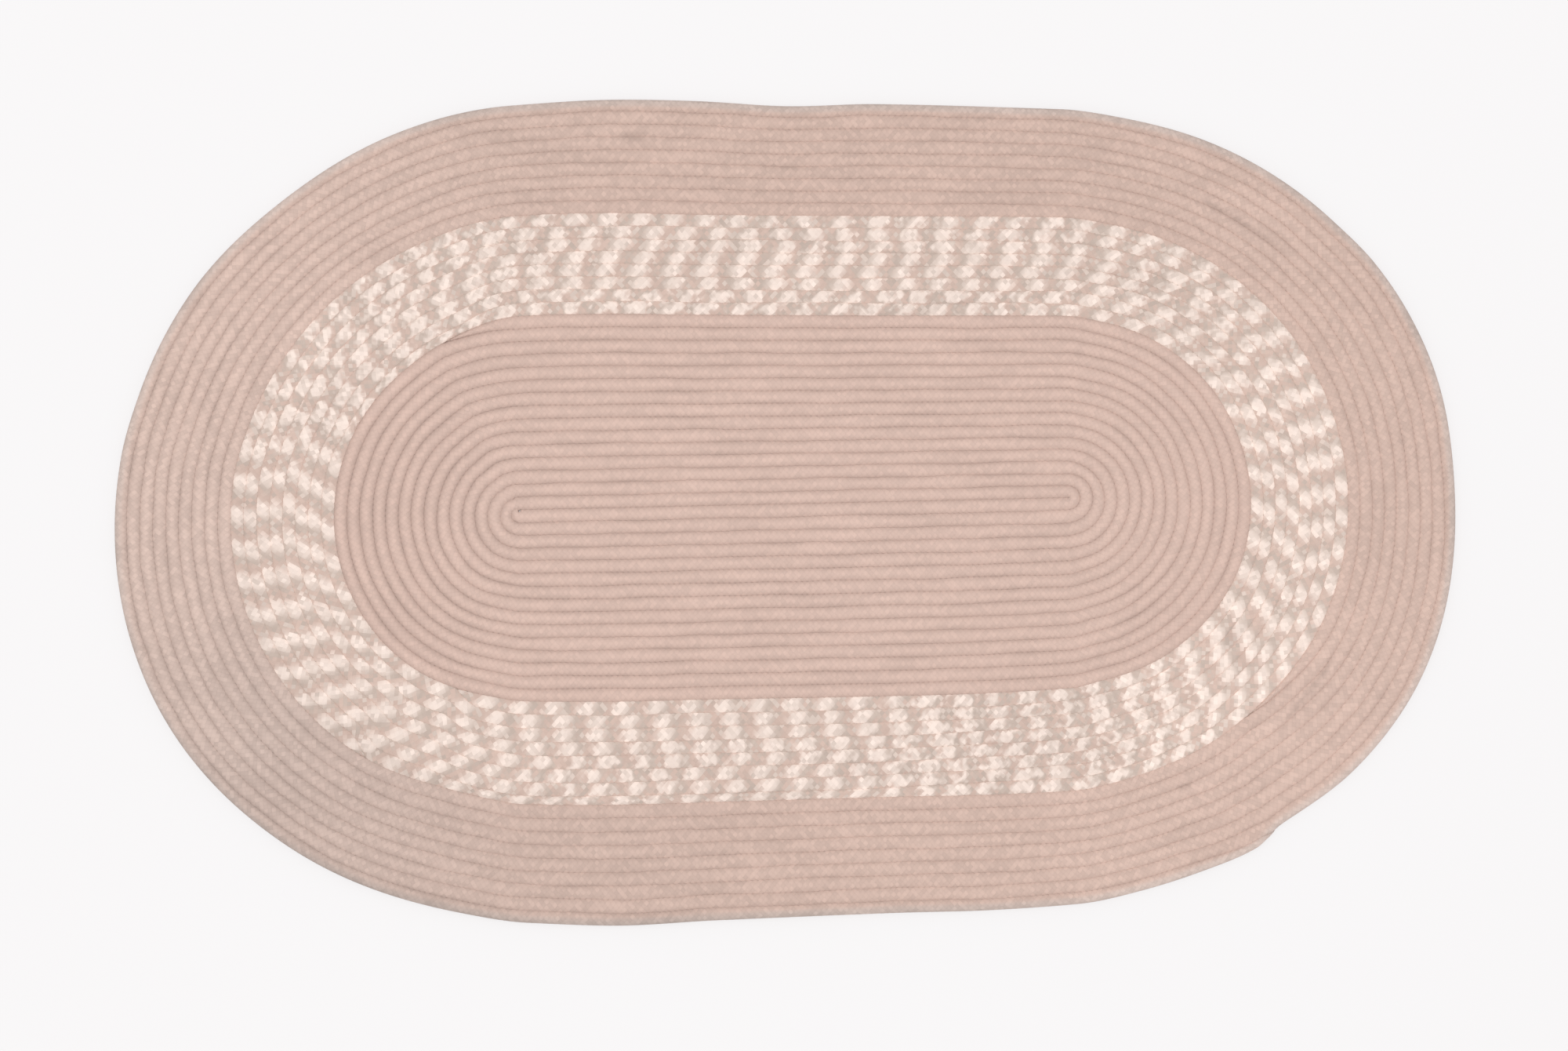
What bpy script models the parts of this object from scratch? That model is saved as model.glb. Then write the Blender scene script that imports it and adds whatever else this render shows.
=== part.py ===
# An oval braided rug, lying flat: three lengths of round braid, each wound in its own
# spiral around the one before and sewn to it edge to edge. Metres, +Z up, +X along the
# rug's length, origin under the middle of its outline, on the floor.

import math

import bmesh
import bpy
from mathutils import Vector

MM = 0.001

# Driving dimensions, in millimetres
CORE_LENGTH = 454.4      # straight line that the first pass of braid doubles back along
CORE_CENTRE = (7.8, 4.3)   # middle of that line, from the middle of the outline
THICKNESS = 9.0          # crown of a row
GROOVE_HEIGHT = 5.2      # bottom of the groove between two rows, above the floor
CROWN_SHARE = 0.46       # share of a row's width that is at full height
NARROW_ROW = 7.0         # rows narrower than this get lower in proportion
THIN_END = 0.08          # share of a row's width at which a tapered end stops
PIECE_GAP = 0.4          # between the field, the band and the border
RIM_TUCK = 2.2           # how far the outer row's foot turns in under its side
RIM_REACH = 285.0        # the border's edges beyond this reach are the rug's rim
MERGE = 0.02             # points nearer than this are one
SMOOTH_ANGLE = 35.0      # degrees, edges sharper than this stay sharp

# Stations count round the rug: the front runs left to right, then the right end, the
# back from right to left, and the left end.
SIDE_STEPS = 6
END_STEPS = 20
TURN = 2 * (SIDE_STEPS + END_STEPS)
NEAR = 0.25              # a whole station this close to a special one is left out

# Reach from the core line to the edge of each length, in millimetres. The rows are a
# little uneven, as they were sewn.
REACH_COLUMNS = ("station", "field", "band", "border")
REACH = (
    (0, 158.5, 244.0, 343.0),
    (1, 160.5, 246.0, 347.0),
    (2, 160.5, 245.5, 344.5),
    (4, 161.0, 244.5, 341.5),
    (5, 160.5, 244.5, 341.0),
    (6, 157.5, 242.5, 337.5),
    (7, 154.0, 238.5, 332.0),
    (8, 153.5, 236.0, 329.5),
    (9, 153.5, 235.0, 330.0),
    (9.25, 153.5, 234.7, 327.0),   # the border's outer end is sewn down here
    (9.5, 153.5, 234.4, 324.0),
    (10, 153.0, 233.5, 324.5),
    (11, 153.0, 233.0, 328.0),
    (13, 153.0, 234.0, 329.0),
    (16, 151.0, 231.5, 321.0),
    (18, 149.5, 229.5, 322.0),
    (20, 149.0, 228.5, 320.5),
    (21, 148.5, 228.0, 318.0),
    (24, 148.0, 228.0, 317.5),
    (25, 148.5, 229.0, 318.5),
    (26, 150.5, 232.0, 322.5),
    (28, 154.0, 236.5, 330.0),
    (29, 156.0, 238.5, 330.0),
    (30, 158.0, 241.0, 336.0),
    (31, 160.5, 244.0, 338.5),
    (32, 160.0, 243.0, 335.5),
    (34, 153.5, 235.5, 328.5),
    (36, 150.0, 232.5, 323.5),
    (38, 150.5, 232.0, 327.0),
    (40, 152.0, 235.0, 330.5),
    (41, 153.0, 238.0, 334.0),
    (45, 156.5, 242.5, 342.5),
    (48, 158.0, 242.5, 339.5),
    (50, 156.5, 238.5, 337.5),
    (51, 156.5, 240.0, 338.5),
)

# Where each length of braid starts and ends, the stations over which its ends taper,
# and what lies inside it.
LENGTH_COLUMNS = ("name", "inside", "start", "stations", "start_taper", "end_taper")
LENGTHS = (
    ("field", None, 34.0, 15 * TURN + 1.3, 17.0, 3.6),
    ("band", "field", 49.5, 8 * TURN - 1.0, 1.0, 0.8),
    ("border", "band", 9.5, 9 * TURN, 3.6, 0.5),
)

# Stretches where a row is drawn in to a share of its width, in stations along its length
PINCH_COLUMNS = ("name", "first", "last", "share")
PINCHES = (
    ("band", 35.0, 43.0, 0.65),    # in its first turn, at the back left
    ("band", 364.0, 371.6, 0.65),  # in its last turn, along the front
    ("border", 466.1, 470.0, 0.6),  # up to its outer end
)
PINCH_EASE = 1.5         # stations over which such a row narrows and widens

# Colour of each length, linear red, green and blue
COLOURS = {
    "field": (0.66, 0.48, 0.41),
    "band": (0.74, 0.60, 0.53),
    "border": (0.64, 0.46, 0.40),
}
YARN_ROUGHNESS = 0.9


def smooth_step(x):
    x = min(max(x, 0.0), 1.0)
    return x * x * (3 - 2 * x)


def distance_round(station, reach):
    """Length, from station 0 to a station, of the line that keeps one reach."""
    side, end = CORE_LENGTH / SIDE_STEPS, math.pi * reach / END_STEPS
    halves, rest = divmod(station, SIDE_STEPS + END_STEPS)
    on_side = min(rest, SIDE_STEPS)
    return (halves * (side * SIDE_STEPS + end * END_STEPS)
            + side * on_side + end * (rest - on_side))


def tabled_reach(edge, station):
    """Smooth curve through the table's reaches for one edge, closed around the rug."""
    column = REACH_COLUMNS.index(edge)
    rows = len(REACH)
    station %= TURN
    i = max(k for k in range(rows) if REACH[k][0] <= station)
    typical = REACH[0][column]

    def at(k):
        row = REACH[k % rows]
        return distance_round(row[0] + TURN * (k // rows), typical), row[column]

    (x0, y0), (x1, y1), (x2, y2), (x3, y3) = at(i - 1), at(i), at(i + 1), at(i + 2)
    slope_in = (y2 - y0) / (x2 - x0)
    slope_out = (y3 - y1) / (x3 - x1)
    t, run = (distance_round(station, typical) - x1) / (x2 - x1), x2 - x1
    rise = smooth_step(t)
    return (y1 * (1 - rise) + y2 * rise
            + run * slope_in * t * (1 - t) ** 2 - run * slope_out * t * t * (1 - t))


def row_weight(length, along):
    """Share of a full row's width, `along` stations from the start of the length."""
    to_end = length["stations"] - along
    if along < 0 or to_end < 0:
        return 0.0
    weight = (smooth_step(along / length["start_taper"])
              * smooth_step(to_end / length["end_taper"]))
    for pinch in (dict(zip(PINCH_COLUMNS, row)) for row in PINCHES):
        if pinch["name"] == length["name"]:
            drawn_in = (smooth_step((along - pinch["first"]) / PINCH_EASE)
                        * smooth_step((pinch["last"] - along) / PINCH_EASE))
            weight *= 1 - (1 - pinch["share"]) * drawn_in
    return weight if weight > THIN_END else 0.0


def rows_up_to(length, along):
    """Rows of the same length that lie inside this point of it, ends counted in part."""
    return sum(row_weight(length, along - TURN * (k + 1)) for k in range(int(along // TURN)))


def rows_across(length, station):
    """Rows of the length between its inner and outer edge at a station."""
    along = (station - length["start"]) % TURN
    turns = int(length["stations"] // TURN) + 1
    return sum(row_weight(length, along + TURN * k) for k in range(turns))


def place(station, reach):
    """Plan position, in millimetres, of a reach outward from the core line."""
    station %= TURN
    half = CORE_LENGTH / 2
    if station < SIDE_STEPS:
        x, angle = half * (2 * station / SIDE_STEPS - 1), -math.pi / 2
    elif station < SIDE_STEPS + END_STEPS:
        x, angle = half, math.pi * ((station - SIDE_STEPS) / END_STEPS - 0.5)
    elif station < TURN - END_STEPS:
        back = (station - SIDE_STEPS - END_STEPS) / SIDE_STEPS
        x, angle = half * (1 - 2 * back), math.pi / 2
    else:
        x, angle = -half, math.pi * ((station - TURN + END_STEPS) / END_STEPS + 0.5)
    return (CORE_CENTRE[0] + x + reach * math.cos(angle),
            CORE_CENTRE[1] + reach * math.sin(angle))


def on_a_side(station):
    return station % (TURN / 2) < SIDE_STEPS


def station_list(lengths):
    """Every whole station, and in place of near ones those where a length or its taper
    ends or the table has a row between. The sides keep whole stations only, so that the
    doubled-back pass meets itself."""
    special = {row[0] for row in REACH if row[0] % 1}
    for length in lengths:
        end = length["start"] + length["stations"]
        for s in (length["start"], end, end - length["end_taper"]):
            if not on_a_side(s):
                special.add(round(s % TURN, 3))
    whole = [s for s in range(TURN)
             if on_a_side(s - 0.5) or all(abs(s - x) > NEAR for x in special)]
    return sorted(special.union(whole))


def unrolled(length, stations):
    """Distances from the start of a length, in stations, at every station it passes."""
    steps = []
    for turn in range(-1, int(length["stations"] // TURN) + 3):
        for s in stations:
            along = round(s - length["start"] + TURN * turn, 6)
            if 0 <= along <= length["stations"]:
                steps.append(along)
    return steps


def braid_mesh(length, lengths, stations):
    """A flat strip, bent into the spiral, sewn to itself turn by turn and closed below."""
    steps = unrolled(length, stations)
    across = (0.0, 0.5 - CROWN_SHARE / 2, 0.5 + CROWN_SHARE / 2, 1.0)
    inner = lengths.get(length["inside"])

    bm = bmesh.new()
    bmesh.ops.create_grid(bm, x_segments=len(steps) - 1, y_segments=len(across) - 1, size=1.0)
    for v in bm.verts:
        along = steps[round((v.co.x + 1) / 2 * (len(steps) - 1))]
        j = round((v.co.y + 1) / 2 * (len(across) - 1))
        station = length["start"] + along
        weight = row_weight(length, along)
        low = tabled_reach(inner["name"], station) + PIECE_GAP / 2 if inner else 0.0
        high = tabled_reach(length["name"], station)
        if length["name"] != "border":
            high -= PIECE_GAP / 2
        row_width = (high - low) / rows_across(length, station)
        reach = low + row_width * (rows_up_to(length, along) + across[j] * weight)
        height = GROOVE_HEIGHT
        if 0 < j < len(across) - 1:
            height += (THICKNESS - GROOVE_HEIGHT) * min(1.0, row_width * weight / NARROW_ROW)
        x, y = place(station, reach)
        v.co = Vector((x, y, height)) * MM

    bmesh.ops.remove_doubles(bm, verts=bm.verts, dist=MERGE * MM)
    bmesh.ops.dissolve_degenerate(bm, edges=bm.edges, dist=MERGE * MM)

    rim = [e for e in bm.edges if e.is_boundary]
    foot = bmesh.ops.extrude_edge_only(bm, edges=rim)["geom"]
    for v in (g for g in foot if isinstance(g, bmesh.types.BMVert)):
        v.co.z = 0.0
        on_core = Vector((CORE_CENTRE[0], CORE_CENTRE[1], 0.0)) * MM
        half = CORE_LENGTH / 2 * MM
        on_core.x += min(max(v.co.x - on_core.x, -half), half)
        outward = v.co - on_core
        if length["name"] == "border" and outward.length > RIM_REACH * MM:
            v.co -= outward.normalized() * RIM_TUCK * MM
    floor_edges = [g for g in foot if isinstance(g, bmesh.types.BMEdge)]
    bmesh.ops.triangle_fill(bm, edges=floor_edges, use_beauty=True, normal=(0, 0, -1))
    bmesh.ops.recalc_face_normals(bm, faces=bm.faces)
    if bm.calc_volume(signed=True) < 0:
        bmesh.ops.reverse_faces(bm, faces=bm.faces)

    mesh = bpy.data.meshes.new(length["name"] + "_braid")
    bm.to_mesh(mesh)
    bm.free()
    return mesh


def yarn_material(name, colour):
    material = bpy.data.materials.new(name + "_yarn")
    material.use_nodes = True
    shader = material.node_tree.nodes["Principled BSDF"]
    shader.inputs["Base Color"].default_value = (*colour, 1.0)
    shader.inputs["Roughness"].default_value = YARN_ROUGHNESS
    shader.inputs["Metallic"].default_value = 0.0
    return material


for old in list(bpy.data.objects):
    bpy.data.objects.remove(old, do_unlink=True)

rug = bpy.data.collections.new("BraidedRug")
bpy.context.scene.collection.children.link(rug)

lengths = {row[0]: dict(zip(LENGTH_COLUMNS, row)) for row in LENGTHS}
stations = station_list(lengths.values())
for name, length in lengths.items():
    mesh = braid_mesh(length, lengths, stations)
    mesh.materials.append(yarn_material(name, COLOURS[name]))
    mesh.shade_smooth()
    mesh.set_sharp_from_angle(angle=math.radians(SMOOTH_ANGLE))
    rug.objects.link(bpy.data.objects.new(mesh.name, mesh))
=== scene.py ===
import math

import bpy
import numpy as np
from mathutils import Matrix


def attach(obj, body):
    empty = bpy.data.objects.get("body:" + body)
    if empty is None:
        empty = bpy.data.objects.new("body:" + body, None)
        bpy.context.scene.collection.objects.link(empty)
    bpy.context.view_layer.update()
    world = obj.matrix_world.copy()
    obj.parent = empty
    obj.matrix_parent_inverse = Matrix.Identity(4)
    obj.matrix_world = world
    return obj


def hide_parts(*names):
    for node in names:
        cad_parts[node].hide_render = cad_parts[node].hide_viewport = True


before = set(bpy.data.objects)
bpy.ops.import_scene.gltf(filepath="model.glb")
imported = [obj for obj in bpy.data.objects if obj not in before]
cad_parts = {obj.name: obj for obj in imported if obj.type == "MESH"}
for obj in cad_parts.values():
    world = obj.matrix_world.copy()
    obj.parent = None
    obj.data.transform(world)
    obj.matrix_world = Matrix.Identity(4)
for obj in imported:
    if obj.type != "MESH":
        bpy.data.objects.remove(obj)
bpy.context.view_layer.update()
mm = 0.001
print("frame loaded:", sorted(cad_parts))

# the camera looks straight down, turned a little as in the photograph
view = {
    "middle": (-0.00095, -0.0136),   # what the picture's middle looks at, metres
    "width": 1.298,                  # how much the picture takes in, metres
    "height": 3.2,                   # camera above the rug
    "rugTop": 0.008,
    "turn": -1.267,                  # degrees
}

camera = bpy.data.cameras.new("camera")
camera.sensor_width = 36
camera.lens = camera.sensor_width * view["height"] / view["width"]
camera.dof.use_dof = False
cameraObject = bpy.data.objects.new("camera", camera)
cameraObject.location = (*view["middle"], view["height"] + view["rugTop"])
cameraObject.rotation_euler = (0, 0, math.radians(view["turn"]))
bpy.context.scene.collection.objects.link(cameraObject)
bpy.context.scene.camera = cameraObject
bpy.context.scene.view_settings.view_transform = "Standard"


# how the rug is laid out, the same as in the solids: reach is measured outward from the
# core line, and stations count round the rug from the front left corner
layout = {
    "coreLength": 454.4,
    "coreCentre": (7.8, 4.3),
    "sideSteps": 6,
    "endSteps": 20,
    "turn": 52,
    "thinEnd": 0.08,       # share of a row's width at which a tapered end stops
    "pinchEase": 1.5,      # stations over which a pinched row narrows
    "columns": ("station", "field", "band", "border"),
    "reach": (
        (0, 158.5, 244.0, 343.0), (1, 160.5, 246.0, 347.0), (2, 160.5, 245.5, 344.5),
        (4, 161.0, 244.5, 341.5), (5, 160.5, 244.5, 341.0), (6, 157.5, 242.5, 337.5),
        (7, 154.0, 238.5, 332.0), (8, 153.5, 236.0, 329.5), (9, 153.5, 235.0, 330.0),
        (9.25, 153.5, 234.7, 327.0), (9.5, 153.5, 234.4, 324.0), (10, 153.0, 233.5, 324.5),
        (11, 153.0, 233.0, 328.0), (13, 153.0, 234.0, 329.0), (16, 151.0, 231.5, 321.0),
        (18, 149.5, 229.5, 322.0), (20, 149.0, 228.5, 320.5), (21, 148.5, 228.0, 318.0),
        (24, 148.0, 228.0, 317.5), (25, 148.5, 229.0, 318.5), (26, 150.5, 232.0, 322.5),
        (28, 154.0, 236.5, 330.0), (29, 156.0, 238.5, 330.0), (30, 158.0, 241.0, 336.0),
        (31, 160.5, 244.0, 338.5), (32, 160.0, 243.0, 335.5), (34, 153.5, 235.5, 328.5),
        (36, 150.0, 232.5, 323.5), (38, 150.5, 232.0, 327.0), (40, 152.0, 235.0, 330.5),
        (41, 153.0, 238.0, 334.0), (45, 156.5, 242.5, 342.5), (48, 158.0, 242.5, 339.5),
        (50, 156.5, 238.5, 337.5), (51, 156.5, 240.0, 338.5),
    ),
}
turn = layout["turn"]

# the three lengths of braid: where each starts, how many stations long it is, the
# stations over which its ends taper, what lies inside it, and the stretches where a row
# is drawn in to a share of its width
lengths = {
    "field": {"inside": None, "start": 34.0, "stations": 15 * turn + 1.3,
              "startTaper": 17.0, "endTaper": 3.6, "pinches": ()},
    "band": {"inside": "field", "start": 49.5, "stations": 8 * turn - 1.0,
             "startTaper": 1.0, "endTaper": 0.8,
             "pinches": ((35.0, 43.0, 0.65), (364.0, 371.6, 0.65))},
    "border": {"inside": "band", "start": 9.5, "stations": 9 * turn,
               "startTaper": 3.6, "endTaper": 0.5, "pinches": ((466.1, 470.0, 0.6),)},
}


def smoothStep(x):
    x = np.clip(x, 0.0, 1.0)
    return x * x * (3 - 2 * x)


def distanceRound(station, reach):
    # length, from station 0 to a station, of the line that keeps one reach
    side = layout["coreLength"] / layout["sideSteps"]
    end = math.pi * reach / layout["endSteps"]
    halves, rest = np.divmod(station, turn / 2)
    onSide = np.minimum(rest, layout["sideSteps"])
    halfRound = side * layout["sideSteps"] + end * layout["endSteps"]
    return halves * halfRound + side * onSide + end * (rest - onSide)


def tabledReach(edge, station):
    table = np.array(layout["reach"], float)
    count, at = len(table), np.mod(station, turn)
    y = table[:, layout["columns"].index(edge)]
    typical = y[0]
    x = np.concatenate([table[-1:, 0] - turn, table[:, 0], table[:2, 0] + turn])
    i = np.clip(np.searchsorted(x, at, side="right") - 1, 1, count)
    x, y = distanceRound(x, typical), np.concatenate([y[-1:], y, y[:2]])
    slope = (y[2:] - y[:-2]) / (x[2:] - x[:-2])
    run = x[i + 1] - x[i]
    t = (distanceRound(at, typical) - x[i]) / run
    rise = smoothStep(t)
    return (y[i] * (1 - rise) + y[i + 1] * rise
            + run * slope[i - 1] * t * (1 - t) ** 2 - run * slope[i] * t * t * (1 - t))


def rowWeight(length, along):
    toEnd = length["stations"] - along
    weight = smoothStep(along / length["startTaper"]) * smoothStep(toEnd / length["endTaper"])
    for first, last, share in length["pinches"]:
        ease = layout["pinchEase"]
        drawnIn = smoothStep((along - first) / ease) * smoothStep((last - along) / ease)
        weight = weight * (1 - (1 - share) * drawnIn)
    weight = weight * (along >= 0) * (toEnd >= 0)
    return np.where(weight > layout["thinEnd"], weight, 0.0)


def rowsUpTo(length, along):
    turns = int(length["stations"] // turn) + 2
    return sum(rowWeight(length, along - turn * (k + 1)) for k in range(turns))


def rowsAcross(length, station):
    along = np.mod(station - length["start"], turn)
    turns = int(length["stations"] // turn) + 1
    return sum(rowWeight(length, along + turn * k) for k in range(turns))


def placeOf(station, reach):
    half, side, end = layout["coreLength"] / 2, layout["sideSteps"], layout["endSteps"]
    s = np.mod(station, turn)
    edges = [0, side, side + end, turn - end, turn]
    x = np.interp(s, edges, [-half, half, half, -half, -half])
    angle = np.interp(s, edges, [-0.5, -0.5, 0.5, 0.5, 1.5]) * math.pi
    return np.stack([layout["coreCentre"][0] + x + reach * np.cos(angle),
                     layout["coreCentre"][1] + reach * np.sin(angle)], -1)


def wander(along, seed, amount, wave):
    # a slow uneven line, the same each time: seven sines, whose sum is usually about 2.6
    dice = np.random.default_rng(seed)
    out = np.zeros_like(along)
    for k in range(7):
        oneWave = wave * dice.uniform(0.5, 1.8)
        out += np.sin(along * 2 * math.pi / oneWave + dice.uniform(0, 6.28))
    return out * amount / 2.6


# the braid: a round tube of twelve strands over a core, pressed a little flat where it is sewn
braid = {
    "height": 9.0,
    "sideHeight": 6.7,      # the widest part of a row, hidden where rows are pressed together
    "rimHeight": 4.4,       # and of the outermost row's free side
    "press": 1.12,          # rows are this much wider than their pitch
    "footWidth": 0.40,      # flat underside, as a share of the width
    "ringStep": 2.3,        # half a stitch
    "relief": {"field": 0.14, "band": 0.09, "border": 0.14},   # how far a stitch stands out
    "sideRelief": 0.35,     # share of that at a row's sides
    "uneven": 0.32,         # how far a row's edge wanders
    "unevenWave": 95.0,
    "crownUneven": 0.10,    # how far its crown does, and how much lower it is for that
    "crownWave": 60.0,
    "crownDrop": 0.12,
    "narrow": 3.5,          # rows narrower than this get lower
    "tip": 1.2,             # how far the point that closes an end stands out
    "across": (1.0, 0.82, 0.45, 0.0, -0.45, -0.82, -1.0),   # the points over the top
    "rise": (0.0, 0.32, 0.78, 1.0, 0.78, 0.32, 0.0),        # and how high each is
    # where the points lie round the cord, counted in half stitches: over the top, then below
    "roundTop": (0, 1, 2, 3, 4, 5, 6), "roundBelow": (8, 10, 12),
    "girth": 31.5,
    "mapEnds": 0.001, "mapSides": 0.03,   # share of a strip left free in the map for baking
    "endsPerStation": 60, "pointsPerStation": 40,   # how closely a length is followed
}
crownPoint = len(braid["across"]) // 2


def rowsOf(name):
    # follows one length of braid and finds, for each ring of its cord, where its edges are
    length = lengths[name]
    inside = length["inside"]
    # the parts of the ends that are too thin to sew are left off
    fine = np.linspace(0.0, length["stations"],
                       int(length["stations"] * braid["endsPerStation"]))
    fine = fine[rowWeight(length, fine) > 0]
    first, last = fine[0] + 1e-6, fine[-1] - 1e-6
    fine = np.linspace(first, last, int((last - first) * braid["pointsPerStation"]))
    seed = len(name)

    def rowEdges(along):
        station = length["start"] + along
        low = tabledReach(inside, station) if inside else np.zeros_like(along)
        total = rowsAcross(length, station)
        width = (tabledReach(name, station) - low) / total
        up, weight = rowsUpTo(length, along), rowWeight(length, along)
        return station, low + width * up, low + width * (up + weight), up, weight, total

    def runAlong(station, inner, outer):
        path = placeOf(station, (inner + outer) / 2)
        steps = np.linalg.norm(np.diff(path, axis=0), axis=1)
        return np.concatenate([[0], np.cumsum(steps)])

    fineRun = runAlong(*rowEdges(fine)[:3])

    def stray(at):
        run = np.interp(at, fine, fineRun)
        return wander(run, seed, braid["uneven"], braid["unevenWave"])

    rings = int(fineRun[-1] / braid["ringStep"])
    along = np.interp(np.linspace(0, fineRun[-1], rings + 1), fineRun, fine)
    station, inner, outer, up, weight, total = rowEdges(along)
    # a row's outer edge and the next row's inner edge wander together, and the length's own
    # edges don't
    inner = inner + stray(along - turn) * smoothStep(up) * smoothStep(total - up)
    outer = outer + stray(along) * smoothStep(up + weight) * smoothStep(total - up - weight)
    path = placeOf(station, (inner + outer) / 2)
    ahead = np.gradient(path, axis=0)
    ahead /= np.linalg.norm(ahead, axis=1, keepdims=True)
    return {"rings": rings, "along": along, "station": np.mod(station, turn),
            "run": runAlong(station, inner, outer), "path": path, "ahead": ahead,
            "middle": (inner + outer) / 2, "width": outer - inner,
            "atRim": (up + weight > total - 0.01) & (name == "border")}


def cordPoints(name, rows):
    # one ring: seven points over the top from the outer to the inner side, two below
    top = len(braid["across"])
    around = top + 2
    across = np.array(braid["across"] + (-braid["footWidth"], braid["footWidth"]))
    up = np.array(braid["rise"] + (0.0, 0.0))
    isFoot = np.arange(around) >= top
    half = rows["width"] / 2 * braid["press"]
    free = np.where(rows["atRim"], 2 / braid["press"] - 1, 1.0)   # the outline isn't pressed
    low = np.minimum(1, np.sqrt(2 * half / braid["narrow"]))
    crown = (braid["height"] * low - braid["crownDrop"]
             + wander(rows["run"], len(name) + 20, braid["crownUneven"], braid["crownWave"]))
    side = np.repeat(braid["sideHeight"] * low[:, None], around, axis=1)
    side[rows["atRim"], 0] *= braid["rimHeight"] / braid["sideHeight"]
    ring = np.arange(rows["rings"] + 1)
    stitch = np.where((ring[:, None] + np.arange(around)[None]) % 2 == 0, 1.0, -1.0)
    share = braid["sideRelief"] + (1 - braid["sideRelief"]) * up
    stitch *= np.where(isFoot, 0.0, share)[None] * braid["relief"][name] * low[:, None]
    sideways = across[None] * (half[:, None] + stitch)
    sideways = np.where(across[None] > 0, sideways * free[:, None], sideways)
    height = side + up[None] * (crown[:, None] - side) + up[None] * stitch
    height = np.clip(np.where(isFoot[None], 0.0, height), 0, braid["height"])
    outward = np.stack([rows["ahead"][:, 1], -rows["ahead"][:, 0]], -1)
    flat = rows["path"][:, None] + outward[:, None] * sideways[..., None]
    return np.concatenate([flat, height[..., None]], -1), across, sideways


def cordFaces(rings, around, column):
    # on top each stitch is a low pyramid, so its square is cut between the hollows
    i, k = np.meshgrid(np.arange(rings), np.arange(around), indexing="ij")
    a, b = i * around + k, i * around + (k + 1) % around
    c, d = b + around, a + around
    crown = ((i + k) % 2 == 0)[..., None]
    one = np.where(crown, np.stack([a, b, d], -1), np.stack([a, b, c], -1))
    two = np.where(crown, np.stack([b, c, d], -1), np.stack([a, c, d], -1))
    faces = np.concatenate([one.reshape(-1, 3), two.reshape(-1, 3)])
    # the last column of faces ends on the first points, a full turn round the cord
    closing = np.tile(k.ravel() == around - 1, 2)[:, None]
    cornerColumn = np.where(closing & (faces % around == 0), around, faces % around)
    faceRing = np.repeat(np.tile(i.ravel(), 2)[:, None], 3, 1)
    return faces, (faces // around).astype(float), column[cornerColumn], faceRing


def cordMesh(name):
    rows = rowsOf(name)
    points, across, sideways = cordPoints(name, rows)
    rings, around, run = rows["rings"], points.shape[1], rows["run"]
    column = np.array(braid["roundTop"] + braid["roundBelow"], float)
    faces, cornerRing, cornerColumn, faceRing = cordFaces(rings, around, column)

    # both ends are closed by a fan around one more point
    vertices = points.reshape(-1, 3)
    for ringNumber, flip in ((0, False), (rings, True)):
        base, outward = ringNumber * around, 1 if flip else -1
        tip = vertices[base:base + around].mean(0)
        tip[:2] += rows["ahead"][ringNumber] * braid["tip"] * outward
        fan = np.stack([base + np.arange(around), base + (np.arange(around) + 1) % around,
                        np.full(around, len(vertices))], -1)
        fanColumn = np.stack([column[:-1], column[1:], (column[:-1] + column[1:]) / 2], -1)
        fanRing = np.tile([ringNumber, ringNumber, ringNumber + outward], (around, 1))
        if not flip:
            fan, fanColumn, fanRing = fan[:, ::-1], fanColumn[:, ::-1], fanRing[:, ::-1]
        vertices = np.concatenate([vertices, tip[None]])
        faces = np.concatenate([faces, fan])
        cornerRing = np.concatenate([cornerRing, fanRing])
        cornerColumn = np.concatenate([cornerColumn, fanColumn])
        faceRing = np.concatenate([faceRing, np.full((around, 3), min(ringNumber, rings - 1))])

    # places in the two maps: the yarn's own, in half stitches, and one that lays the cord
    # out in strips side by side
    strips = max(1, round(math.sqrt(run[-1] / braid["girth"])))
    perStrip = math.ceil((rings + 1) / strips)
    strip = faceRing // perStrip
    yarn = np.stack([cornerRing, cornerColumn], -1)
    ends, sides = braid["mapEnds"], braid["mapSides"]
    alongStrip = (cornerRing - strip * perStrip) / perStrip
    acrossStrip = cornerColumn / column[-1]
    bake = np.stack([ends + (1 - 2 * ends) * alongStrip,
                     (strip + sides + (1 - 2 * sides) * acrossStrip) / strips], -1)

    mesh = bpy.data.meshes.new(name + "Braid")
    mesh.from_pydata((vertices * mm).tolist(), [], faces.tolist())
    for mapName, places in (("yarn", yarn), ("OFBake", bake)):
        layer = mesh.uv_layers.new(name=mapName, do_init=False)
        layer.uv.foreach_set("vector", places.reshape(-1).astype(np.float32))
    mesh.shade_smooth()
    facts = {"along": rows["along"], "station": rows["station"], "rowWidth": rows["width"],
             "around": around, "across": across, "reach": rows["middle"][:, None] + sideways,
             "run": run, "runBefore": np.interp(rows["along"] - turn, rows["along"], run)}
    return mesh, facts


# painted shade on each row toward its grooves, by station; below zero is painted light there
grooveShade = {
    "field": ((0, 0.26), (12, 0.19), (18, 0.19), (27, 0.22), (34, 0.28), (42, 0.39), (48, 0.32),
              (52, 0.26)),
    "band": ((0, -0.05), (52, -0.05)),
    "border": ((0, 0.11), (12, 0.09), (27, 0.09), (34, 0.14), (42, 0.26), (52, 0.11)),
    "vary": 0.05, "wave": 110.0,
}
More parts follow.
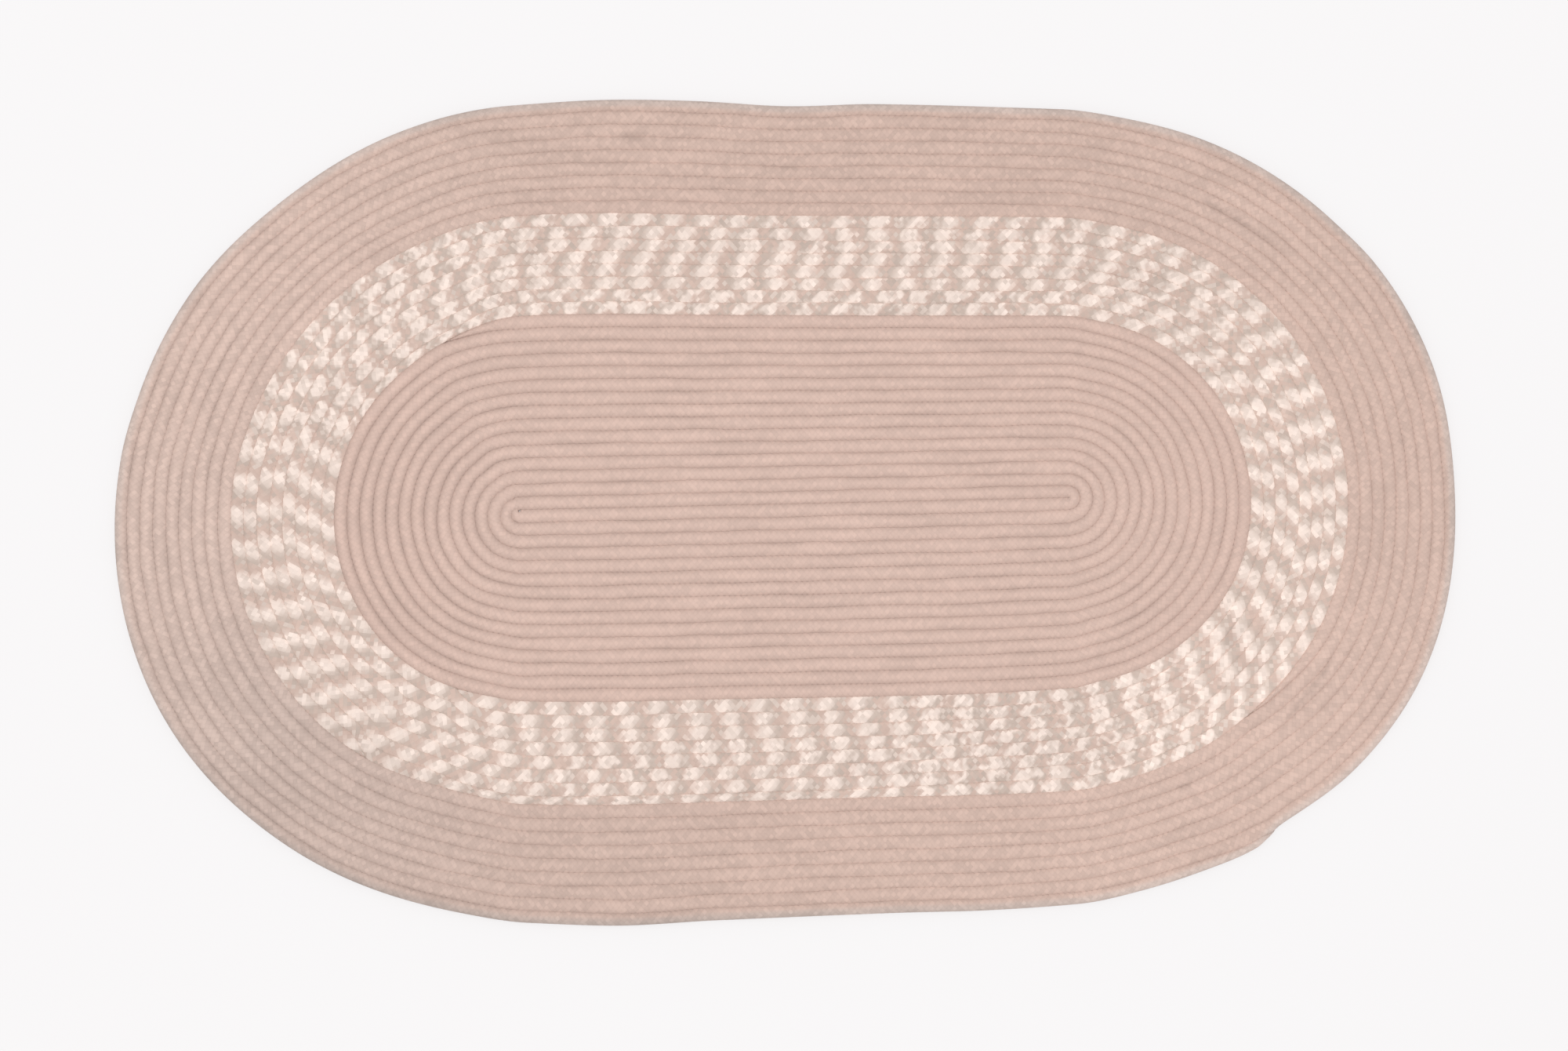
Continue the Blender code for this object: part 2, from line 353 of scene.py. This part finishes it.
# painted shade and tone on the rug: the spots two millimetres across are painted shade in
# grooves between rows, the wider ones shift the tone of broad stretches; how dark each spot is,
# below zero for lighter, the stations it spans and how it fades there, and the reach it spans,
# in millimetres
marks = {
    "columns": ("piece", "dark", "first", "last", "fade", "low", "high", "blur"),
    "spots": (
        ("border", 0.14, 30.62, 30.72, 0.12, 304.0, 309.0, 4.0),
        ("border", 0.16, 21.6, 22.8, 0.5, 268.0, 270.0, 2.0),
        ("border", 0.16, 11.0, 12.1, 0.4, 255.0, 257.0, 2.0),
        ("border", 0.20, 8.2, 8.4, 0.1, 257.0, 259.0, 1.5),
        ("band", 0.12, 11.2, 11.8, 0.3, 173.0, 183.0, 2.0),
        ("band", -0.045, 8.5, 19.0, 2.5, 140.0, 260.0, 8.0),
        ("band", -0.025, 8.5, 12.0, 2.0, 140.0, 260.0, 8.0),
        ("band", -0.05, 8.5, 11.5, 1.5, 228.0, 260.0, 6.0),
        ("band", 0.06, 42.5, 50.0, 2.0, 232.0, 260.0, 10.0),
        ("border", -0.06, 37.0, 42.0, 4.0, 230.0, 350.0, 8.0),
        ("border", 0.045, 48.0, 53.0, 3.0, 230.0, 350.0, 8.0),
        ("border", -0.035, 8.0, 12.0, 3.0, 230.0, 350.0, 8.0),
        ("border", 0.03, 25.0, 31.0, 3.0, 230.0, 350.0, 8.0),
    ),
    # painted shade in the outermost groove, by station
    "outerGroove": ((0, 0.07), (8, 0.03), (34, 0.03), (44, 0.05), (48, 0.09), (52, 0.07)),
    "grooveWidth": 2.2,
    # painted shade on the outermost row's outer side, where it turns down, by station; below
    # zero is painted light
    "edge": ((0, 0.10), (3, 0.06), (6, 0.0), (8, -0.12), (12, -0.08), (15, -0.03), (19, 0.05),
             (24, 0.0), (42, 0.0), (46, 0.08), (49, 0.14), (52, 0.10)),
    "edgeWidth": 9.0, "edgeFade": 5.0,
    # how grey the border's yarn is
    "grey": ((0, 0.25), (3, 0.12), (30, 0.12), (34, 0.25), (40, 0.35), (43, 0.5), (46.5, 0.7),
             (49.5, 0.5), (52, 0.25)),
}


def within(x, low, high, fade):
    # 1 between low and high, fading to 0 beyond them
    return smoothStep(1 + ((high - low) / 2 - np.abs(x - (low + high) / 2)) / fade)


def edgeOf(facts):
    # 1 on the outer side of the outermost row, which turns down and gets painted shade and a
    # painted greyer tint
    toOutline = tabledReach("border", facts["station"])[:, None] - facts["reach"]
    return smoothStep((marks["edgeWidth"] - toOutline) / marks["edgeFade"])


def byStation(table, facts):
    return np.interp(facts["station"], *np.array(table, float).T)[:, None]


def greyOf(facts):
    # the border yarn's own grey by station, and a painted greyer shade on the outermost row's
    # outer side
    return np.maximum(edgeOf(facts), byStation(marks["grey"], facts))


def shadeAndToneOf(name, facts):
    station, reach = facts["station"][:, None], facts["reach"]
    shadeAndTone = np.zeros_like(reach)
    for spot in marks["spots"]:
        at = dict(zip(marks["columns"], spot))
        if at["piece"] != name:
            continue
        middle = (at["first"] + at["last"]) / 2
        nearest = middle + np.mod(station - middle + turn / 2, turn) - turn / 2
        shadeAndTone += (at["dark"] * within(nearest, at["first"], at["last"], at["fade"])
                 * within(reach, at["low"], at["high"], at["blur"]))
    if name == "border":
        # painted shade, and painted light below zero, on the outermost row's outer side, then
        # painted shade in the outermost groove
        shadeAndTone += byStation(marks["edge"], facts) * edgeOf(facts)
        groove = tabledReach("border", facts["station"]) - facts["rowWidth"]
        near = 1 - np.abs(reach - groove[:, None]) / marks["grooveWidth"]
        shadeAndTone += byStation(marks["outerGroove"], facts) * smoothStep(near)
    return shadeAndTone


def grooveShadeOf(name, facts):
    # neighbouring rows share the painted shade of the groove between them
    seed = len(name) + 60
    outer, inner = (wander(facts[run], seed, grooveShade["vary"], grooveShade["wave"])[:, None]
                    for run in ("run", "runBefore"))
    outerSide = smoothStep(facts["across"] + 0.5)[None]
    return byStation(grooveShade[name], facts) + outer * outerSide + inner * (1 - outerSide)


class Wire:
    # one socket of a material; sums on it add Math nodes
    def __init__(self, tree, socket=None):
        self.tree, self.socket = tree, socket

    def node(self, kind, settings=None, inputs=None, out=0):
        new = self.tree.nodes.new("ShaderNode" + kind)
        for name, value in (settings or {}).items():
            setattr(new, name, value)
        for name, value in (inputs or {}).items():
            if isinstance(value, Wire):
                self.tree.links.new(value.socket, new.inputs[name])
            else:
                new.inputs[name].default_value = value
        return Wire(self.tree, new.outputs[out])

    def math(self, operation, *values):
        return self.node("Math", {"operation": operation}, dict(enumerate(values)))

    def __add__(self, other): return self.math("ADD", self, other)
    def __radd__(self, other): return self.math("ADD", other, self)
    def __sub__(self, other): return self.math("SUBTRACT", self, other)
    def __rsub__(self, other): return self.math("SUBTRACT", other, self)
    def __mul__(self, other): return self.math("MULTIPLY", self, other)
    def __rmul__(self, other): return self.math("MULTIPLY", other, self)
    def __truediv__(self, other): return self.math("DIVIDE", self, other)
    def __lt__(self, other): return self.math("LESS_THAN", self, other)

    def ramp(self, low, high, start=0.0, end=1.0):
        return self.node("MapRange", {"interpolation_type": "SMOOTHSTEP"},
                         {0: self, 1: low, 2: high, 3: start, 4: end})

    def blend(self, colourA, colourB):
        return self.node("Mix", {"data_type": "RGBA"}, {0: self, 6: colourA, 7: colourB}, 2)

    def mixed(self, a, b):
        return self.node("Mix", {"data_type": "FLOAT"}, {0: self, 2: a, 3: b})


surface = {"sheenRoughness": 0.5, "specular": 0.25}   # of the yarns and the floor


def newMaterial(name, finish):
    material = bpy.data.materials.new(name)
    material.use_nodes = True
    tree = material.node_tree
    shader = tree.nodes["Principled BSDF"]
    shader.inputs["Roughness"].default_value = finish["roughness"]
    shader.inputs["Sheen Weight"].default_value = finish["sheen"]
    shader.inputs["Sheen Roughness"].default_value = surface["sheenRoughness"]
    shader.inputs["Specular IOR Level"].default_value = surface["specular"]
    return material, Wire(tree), shader


def rgba(colour):
    return (*colour, 1.0)


# one stitch of any of the yarns
strand = {
    "bow": 3.4,              # how round it is across
    "dip": 2.2,              # how far its ends go under
    "plySlant": 2.0, "fuzzScale": 1.7,
    "hollowAlong": 0.6,      # how much the ends count as hollow, beside the sides
    # where the painted shade in a stitch's hollows starts and where it is full
    "hollowFrom": 0.10, "hollowTo": 0.42,
    "patchScale": 9.0,
    "sidePower": 1.4,        # how fast the painted groove shade deepens from a row's crown to the groove
}


def strandPattern(wire):
    # which strand lies on top at a point of the braid, and where in its stitch the point is
    yarn = wire.node("UVMap", {"uv_map": "yarn"})
    along = wire.node("SeparateXYZ", None, {0: yarn}, 0)
    around = wire.node("SeparateXYZ", None, {0: yarn}, 1)
    p, q = (along + around) * 0.5, (along - around) * 0.5
    cellP, cellQ = wire.math("FLOOR", p + 0.5), wire.math("FLOOR", q + 0.5)
    inP, inQ = p - cellP, q - cellQ
    slash = 1 - wire.math("FLOORED_MODULO", cellP + cellQ, 2.0)   # 1 where a / strand is on top
    acrossStrand, alongStrand = slash.mixed(inP, inQ), slash.mixed(inQ, inP)
    dice = wire.node("TexWhiteNoise", {"noise_dimensions": "2D"},
                     {"Vector": wire.node("CombineXYZ", None, {0: cellP, 1: cellQ})}, 0)
    return {"along": along, "around": around, "cellP": cellP, "cellQ": cellQ, "inP": inP,
            "inQ": inQ, "acrossStrand": acrossStrand, "alongStrand": alongStrand, "dice": dice,
            "map": yarn}


def strandRelief(wire, s, finish):
    # a stitch is round across the strand and dips where it goes under the next one
    bow = 1 - s["acrossStrand"] * s["acrossStrand"] * strand["bow"]
    dip = 1 - s["alongStrand"] * s["alongStrand"] * strand["dip"]
    ply = wire.math("SINE", s["acrossStrand"] * (2 * math.pi * finish["filaments"])
                    + s["alongStrand"] * strand["plySlant"]) * 0.5
    fuzz = wire.node("TexNoise", None,
                     {"Vector": s["map"], "Scale": strand["fuzzScale"], "Detail": 3.0}, 0)
    return bow * dip + ply * finish["filamentDepth"] + fuzz * finish["fuzz"]


def shadeAndFinishYarn(wire, shader, s, colour, finish):
    # stitches and stretches of braid differ a little; painted shade dims the hollows between
    # stitches and a row's sides toward its grooves
    fall = (s["acrossStrand"] * s["acrossStrand"]
            + s["alongStrand"] * s["alongStrand"] * strand["hollowAlong"])
    hollow = fall.ramp(strand["hollowFrom"], strand["hollowTo"], 0.0, finish["hollowShade"])
    place = wire.node("TexCoord", None, None, 3)
    slow = wire.node("TexNoise", None,
                     {"Vector": place, "Scale": strand["patchScale"], "Detail": 2.0}, 0)
    rowTone = wire.node("TexNoise", {"noise_dimensions": "1D"},
                        {"W": s["along"] * finish["rowWave"], "Scale": 1.0, "Detail": 4.0}, 0)
    # painted shade in grooves and on the outer side, and the tone of broad stretches, from the
    # marks
    shadeAndTone = wire.node("Attribute", {"attribute_name": "shadeAndTone"}, None, 2)
    # painted shade that deepens from a row's crown toward its grooves
    groove = wire.node("Attribute", {"attribute_name": "groove"}, None, 2)
    offCrown = (s["around"] - crownPoint) / crownPoint
    side = wire.math("POWER", wire.math("ABSOLUTE", offCrown), strand["sidePower"])
    side = wire.math("MINIMUM", side, 1.0) * groove
    shade = (1 - hollow) * (1 + (s["dice"] - 0.5) * finish["stitchVary"])
    shade = shade * (1 - shadeAndTone) * (1 - side)
    shade = shade * (1 + (slow - 0.5) * finish["patchVary"]
                     + (rowTone - 0.5) * finish["rowVary"])
    dark = wire.node("VectorMath", {"operation": "SCALE"}, {0: colour, "Scale": shade}, 0)
    wire.tree.links.new(dark.socket, shader.inputs["Base Color"])
    bump = wire.node("Bump", None, {"Strength": finish["bump"], "Distance": finish["bumpDepth"],
                                    "Height": strandRelief(wire, s, finish)})
    wire.tree.links.new(bump.socket, shader.inputs["Normal"])


# the plain yarn of the field and the border
plainYarn = {
    "field": {"colour": (0.706, 0.517, 0.445), "other": (0.688, 0.499, 0.428),
              "stitchVary": 0.13, "rowVary": 0.15},
    "border": {"colour": (0.682, 0.496, 0.423), "other": (0.665, 0.479, 0.407),
               "stitchVary": 0.18, "rowVary": 0.18},
    "grey": (0.612, 0.492, 0.439),   # where the border is grey: its own grey yarn by station, and a painted greyer shade on the outermost row's outer side
    "roughness": 0.86, "sheen": 0.15,
    "filaments": 3.0, "filamentDepth": 0.10, "fuzz": 0.35, "bump": 0.6, "bumpDepth": 0.0004,
    "hollowShade": 0.06, "patchVary": 0.03, "rowWave": 0.025,   # painted shade in the hollows between stitches, patch tone, and waves in each half stitch
}


def plainMaterial(name):
    finish = {**plainYarn, **plainYarn[name]}
    material, wire, shader = newMaterial(name + "Yarn", finish)
    s = strandPattern(wire)
    colour = s["dice"].blend(rgba(finish["colour"]), rgba(finish["other"]))
    if name == "border":
        # this mixes the yarn's own grey with the painted greyer shade at the outline
        grey = wire.node("Attribute", {"attribute_name": "grey"}, None, 2)
        colour = grey.blend(colour, rgba(plainYarn["grey"]))
    shadeAndFinishYarn(wire, shader, s, colour, finish)
    return material


# the flecked yarn of the band: cream flecks, with a greyer and a pinker stretch between two
fleckedYarn = {
    "cream": (0.922, 0.776, 0.698),
    "tan": (0.640, 0.480, 0.412), "taupe": (0.572, 0.463, 0.402),
    "groundBlur": 0.15,      # how softly tan and taupe meet
    "groundStray": 0.5,      # how much single stitches mix them
    "every": 6,              # stitches from one fleck to the next
    "lean": 0.72,            # 1 follows the / strands, 0.5 stands straight across the row
    "creamShare": 0.48,
    "rounding": 0.62,        # how much narrower a fleck is at a row's edges
    "softness": 0.15,        # strands at a fleck's ends are part cream
    "raggedness": 0.12,
    "fuzzyEdge": 0.6,        # 0 changes colour only from stitch to stitch
    "cloudScale": 0.24, "cloudShift": 1.3,   # clouds that push the flecks about
    "uneven": 0.5,           # how much of its cream a single stitch may lack
    "stray": 0.35,           # cream of the odd light stitch outside the flecks
    "strayShare": 0.15,
    "mottleLeast": 0.08,     # how much the clouds move the flecks where they are neat
    "roughness": 0.86, "sheen": 0.15,
    "filaments": 3.0, "filamentDepth": 0.10, "fuzz": 0.35, "bump": 0.35, "bumpDepth": 0.0004,
    # the first value below is the painted shade in the hollows between stitches
    "hollowShade": 0.02, "stitchVary": 0.12, "patchVary": 0.05,
    "rowVary": 0.08, "rowWave": 0.011,
    # where the flecks are broken up: turns of the band, stations, how that fades, how much
    "mottled": (
        ("firstTurn", "lastTurn", "first", "last", "fade", "much"),
        (0, 7, 33.0, 39.0, 3.0, 0.7), (0, 1, 26.0, 33.0, 1.0, 0.7),
        (5, 7, 26.0, 29.0, 1.0, 0.5),
        (4, 7, 0.0, 1.5, 0.6, 0.5), (0, 7, 4.5, 9.0, 1.5, 0.75), (3, 4, 1.5, 4.5, 1.0, 0.5),
        (0, 7, 18.0, 24.0, 2.0, 0.35), (2, 5, 20.0, 24.0, 2.0, 0.5),
    ),
    # middles of three flecks in each turn of the band, from its first turn outward, along
    # the front and along the back, in millimetres from the rug's middle
    "front": ((-196, 2, 169), (-188, 6, 174), (-188, 8, 175), (-184, 14, 180),
              (-206, -41, 186), (-193, 2, 196), (-184, -18, 195), (-170, 30, 190)),
    "back": ((-201, -7, 185), (-211, 6, 173), (-198, -3, 186), (-200, -6, 181),
             (-197, 1, 190), (-184, 4, 137), (-182, 2, 190), (-194, -7, 171)),
}


def fleckShift(along):
    # slides the flecks along the braid so that they meet the places above
    half, side = layout["coreLength"] / 2, layout["sideSteps"]
    every, lean = fleckedYarn["every"], fleckedYarn["lean"]
    firstStation = turn - lengths["band"]["start"]
    knots, shifts, shift = [], [], 0.0
    for k, (front, back) in enumerate(zip(fleckedYarn["front"], fleckedYarn["back"])):
        for row, toFront in ((front, True), (back[::-1], False)):
            for x in row:
                share = (x - layout["coreCentre"][0] + half) / (2 * half)
                station = share * side if toFront else turn / 2 + (1 - share) * side
                knots.append(firstStation + station + turn * k)
                ring = np.interp(knots[-1], along, np.arange(len(along)))
                phase = (ring + crownPoint * (1 - 2 * lean)) / (2 * every)
                shift += (0.5 - phase - shift + 0.5) % 1 - 0.5
                shifts.append(shift)
    return np.interp(along, knots, shifts)


def mottleOf(facts):
    station = facts["station"]
    turns = np.round(facts["along"] + lengths["band"]["start"] - station) / turn - 1
    much = np.full(len(station), fleckedYarn["mottleLeast"])
    for firstTurn, lastTurn, first, last, fade, amount in fleckedYarn["mottled"][1:]:
        inTurns = (turns >= firstTurn - 0.5) & (turns <= lastTurn + 0.5)
        much = np.maximum(much, amount * within(station, first, last, fade) * inTurns)
    return much


def fleckedMaterial():
    material, wire, shader = newMaterial("bandYarn", fleckedYarn)
    s = strandPattern(wire)
    shift = wire.node("Attribute", {"attribute_name": "fleckShift"}, None, 2)
    mottle = wire.node("Attribute", {"attribute_name": "mottle"}, None, 2)
    every, lean = fleckedYarn["every"], fleckedYarn["lean"]
    swapped = wire.node("CombineXYZ", None, {0: s["cellQ"], 1: s["cellP"]})
    other = wire.node("TexWhiteNoise", {"noise_dimensions": "2D"}, {"Vector": swapped}, 0)
    blur = fleckedYarn["fuzzyEdge"]
    q, p = s["cellQ"] + s["inQ"] * blur, s["cellP"] + s["inP"] * blur
    phase = q * (lean / every) + p * ((1 - lean) / every) + shift
    phase = phase + (s["dice"] - 0.5) * fleckedYarn["raggedness"]
    cloudInputs = {"Vector": s["map"], "Scale": fleckedYarn["cloudScale"], "Detail": 1.0}
    cloud = wire.node("TexNoise", {"noise_dimensions": "2D"}, cloudInputs, 0)
    phase = phase + (cloud - 0.5) * mottle * fleckedYarn["cloudShift"]
    turned = wire.math("FRACT", phase)
    offCrown = (s["cellP"] - s["cellQ"] - crownPoint) / crownPoint
    width = 1 - offCrown * offCrown * fleckedYarn["rounding"]
    width = width * (fleckedYarn["creamShare"] / 2)
    inFleck = width - wire.math("ABSOLUTE", turned - 0.5)
    isCream = inFleck.ramp(-fleckedYarn["softness"], fleckedYarn["softness"])
    isCream = isCream * (1 - other * other * fleckedYarn["uneven"])
    isStray = (other < fleckedYarn["strayShare"]) * fleckedYarn["stray"]
    isCream = wire.math("MAXIMUM", isCream, isStray)
    sideOfFleck = wire.math("FRACT", turned + 0.5 + (other - 0.5) * fleckedYarn["groundStray"])
    soft = fleckedYarn["groundBlur"]
    isTaupe = sideOfFleck.ramp(0.5 - soft, 0.5 + soft, 1.0, 0.0)
    ground = isTaupe.blend(rgba(fleckedYarn["tan"]), rgba(fleckedYarn["taupe"]))
    colour = isCream.blend(ground, rgba(fleckedYarn["cream"]))
    shadeAndFinishYarn(wire, shader, s, colour, fleckedYarn)
    return material


def pointValues(mesh, name, values, around):
    # one value a ring or a point, and two more for the points that close the ends
    if values.ndim == 1:
        values = np.repeat(values[:, None], around, axis=1)
    values = np.concatenate([values.ravel(), [values[0, 0], values[-1, 0]]])
    attribute = mesh.attributes.new(name, "FLOAT", "POINT")
    attribute.data.foreach_set("value", values.astype(np.float32))


pieces = {}
for name in lengths:
    mesh, facts = cordMesh(name)
    piece = bpy.data.objects.new(name + "Cord", mesh)
    bpy.context.scene.collection.objects.link(piece)
    if name == "band":
        pointValues(mesh, "fleckShift", fleckShift(facts["along"]), facts["around"])
        pointValues(mesh, "mottle", mottleOf(facts), facts["around"])
        mesh.materials.append(fleckedMaterial())
    else:
        mesh.materials.append(plainMaterial(name))
    if name == "border":
        pointValues(mesh, "grey", greyOf(facts), facts["around"])
    pointValues(mesh, "shadeAndTone", shadeAndToneOf(name, facts), facts["around"])
    pointValues(mesh, "groove", grooveShadeOf(name, facts), facts["around"])
    pieces[name] = piece
    metres = round(facts["run"][-1] * mm, 2)
    print(name, "cord:", metres, "m of braid,", len(mesh.polygons), "faces")

# each length stands in for its solid from the frame, which is hidden, and is attached to the
# root body, lying flat
for name, piece in pieces.items():
    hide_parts(name + "_braid")
    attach(piece, "root")
    name + "_yarn"

# a pale floor and soft studio light
studio = {
    "floorSize": 14.0, "floorDrop": 0.0002, "roughness": 0.7, "sheen": 0.0,
    "floorColour": (0.24, 0.238, 0.239), "floorGlow": (0.685, 0.672, 0.675),
    "sky": 0.86,
    "keyPower": 32.0, "keySize": 3.6, "keyPlace": (-0.4, 0.2, 3.6),
}

bpy.ops.object.select_all(action="DESELECT")
bpy.ops.mesh.primitive_plane_add(size=studio["floorSize"],
                                 location=(0, 0, -studio["floorDrop"]))
floor = bpy.context.object
floor.name = "floor"
floorMaterial, _, floorShader = newMaterial("floorPaint", studio)
floorShader.inputs["Base Color"].default_value = rgba(studio["floorColour"])
floorShader.inputs["Emission Color"].default_value = rgba(studio["floorGlow"])
floorShader.inputs["Emission Strength"].default_value = 1.0
floor.data.materials.append(floorMaterial)

world = bpy.data.worlds.new("studio")
world.use_nodes = True
world.node_tree.nodes["Background"].inputs["Color"].default_value = (1, 1, 1, 1)
world.node_tree.nodes["Background"].inputs["Strength"].default_value = studio["sky"]
bpy.context.scene.world = world

key = bpy.data.lights.new("key", "AREA")
key.shape, key.size, key.energy = "DISK", studio["keySize"], studio["keyPower"]
keyObject = bpy.data.objects.new("key", key)
keyObject.location = studio["keyPlace"]
direction = -keyObject.location
keyObject.rotation_euler = direction.to_track_quat("-Z", "Y").to_euler()
bpy.context.scene.collection.objects.link(keyObject)
print("studio ready")
